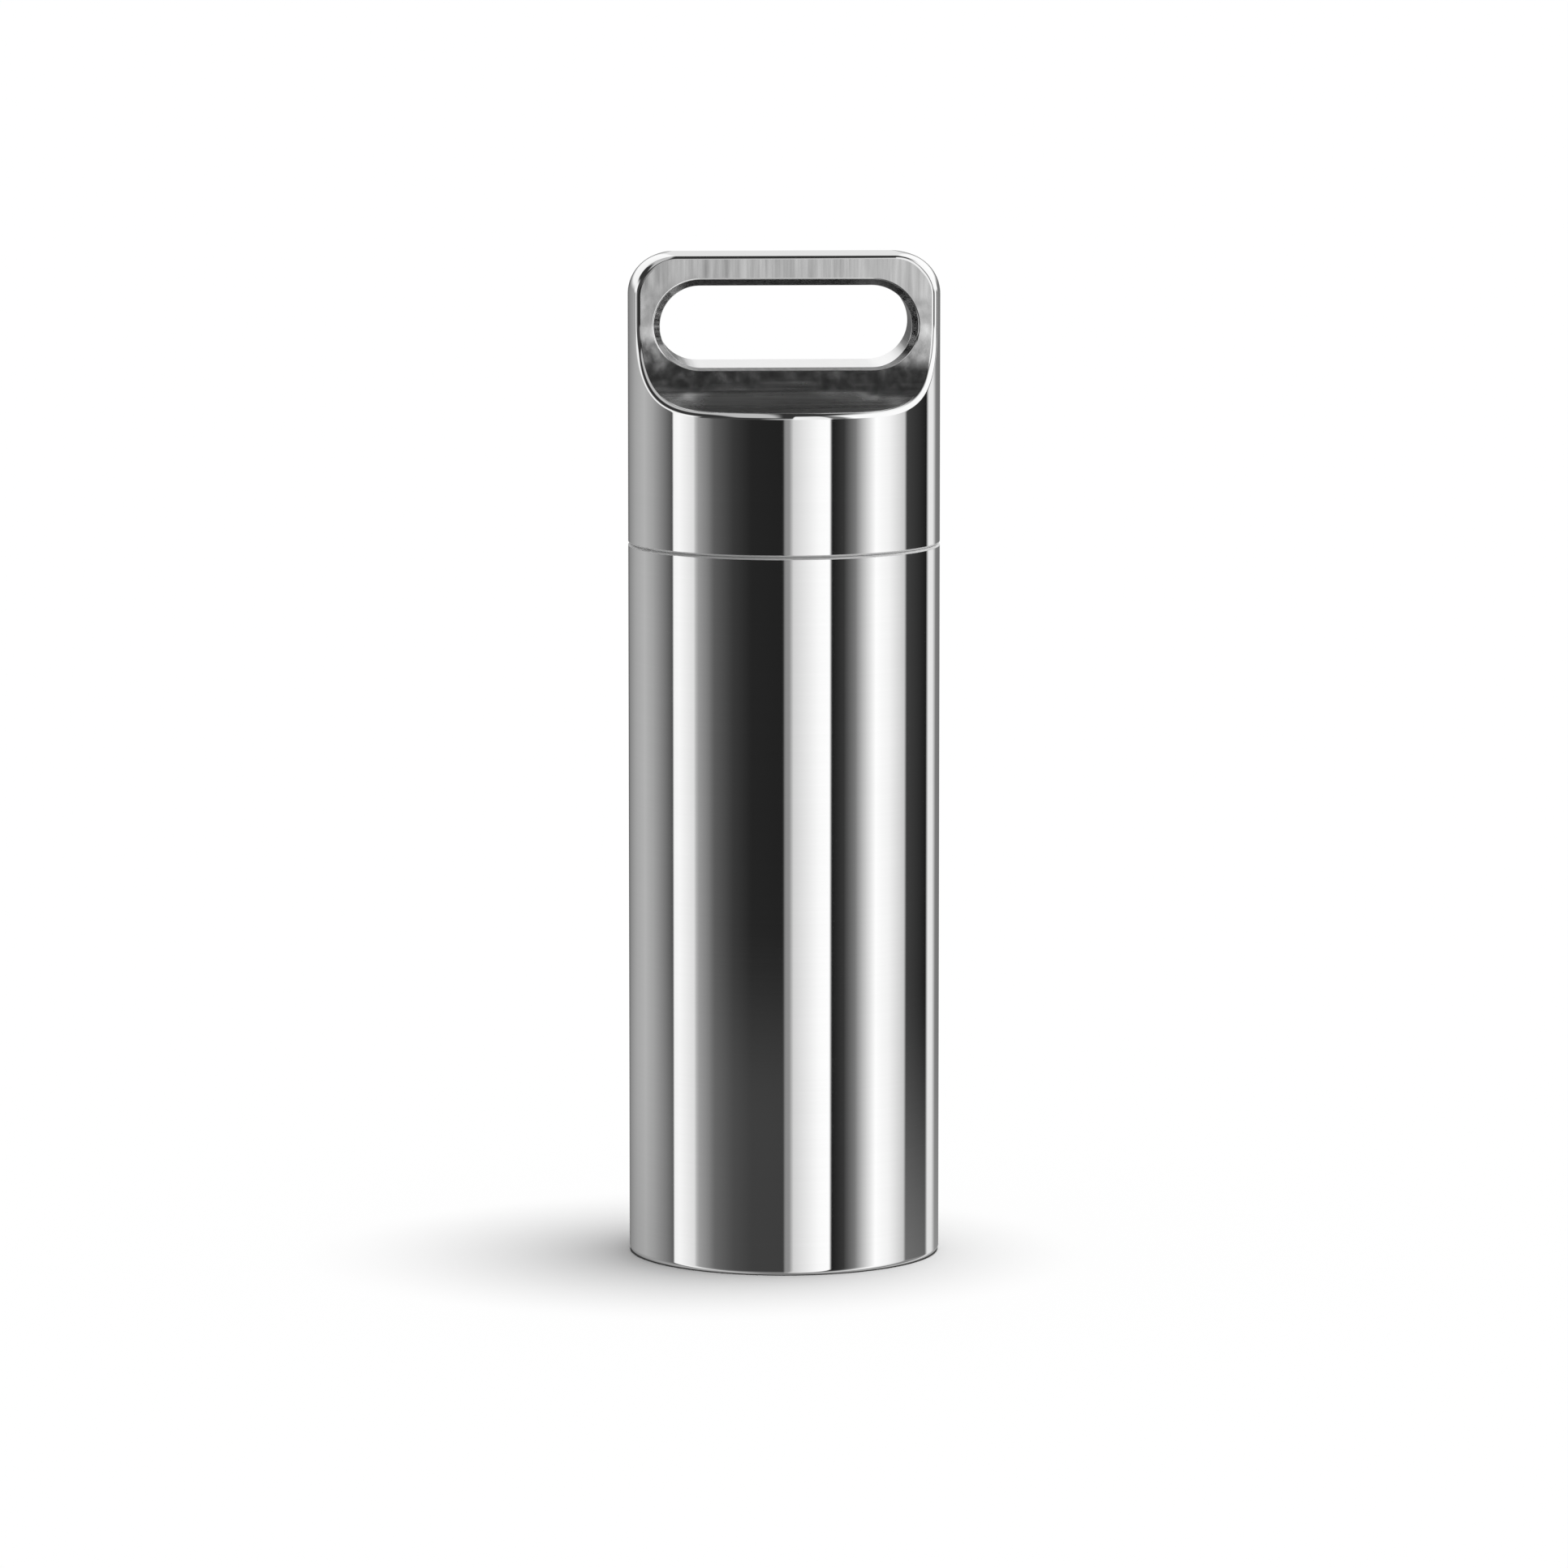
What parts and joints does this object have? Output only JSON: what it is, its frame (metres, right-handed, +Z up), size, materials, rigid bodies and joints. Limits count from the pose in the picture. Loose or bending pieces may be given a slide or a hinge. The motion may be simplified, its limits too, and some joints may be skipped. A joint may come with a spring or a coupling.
{
  "type": "pill case key fob",
  "caption": "Slim polished steel cylinder that holds pills dry under a screw cap, with a slotted handle on the cap for a key ring.",
  "frame": {"origin": "centre of the base, on the surface that the case stands on", "axes": "+Z up along the case's axis, +X along the handle's width, +Y through the key slot"},
  "size_m": [0.0194, 0.0194, 0.0626],
  "materials": {
    "polished_steel": "mirror-polished stainless steel",
    "satin_steel": "milled stainless steel, satin in the scoops and polished on the turned skirt",
    "seal_rubber": "matte black rubber"
  },
  "bodies": {
    "container": {"container": "polished_steel"},
    "seal": {"sealing_ring": "seal_rubber"},
    "cap": {"cap": "satin_steel"}
  },
  "joints": [
    {"name": "cap_turn", "type": "hinge", "parent": "container", "child": "seal", "pos_m": [0, 0, 0.0446], "axis": [0, 0, 1], "range_deg": [0, 1170]},
    {"name": "cap_lift", "type": "slide", "parent": "seal", "child": "cap", "axis": [0, 0, 1], "range_m": [0, 0.00488]}
  ],
  "couplings": [
    {"joint": "cap_lift", "follows": "cap_turn", "m_per_rad": 0.00023873}
  ]
}
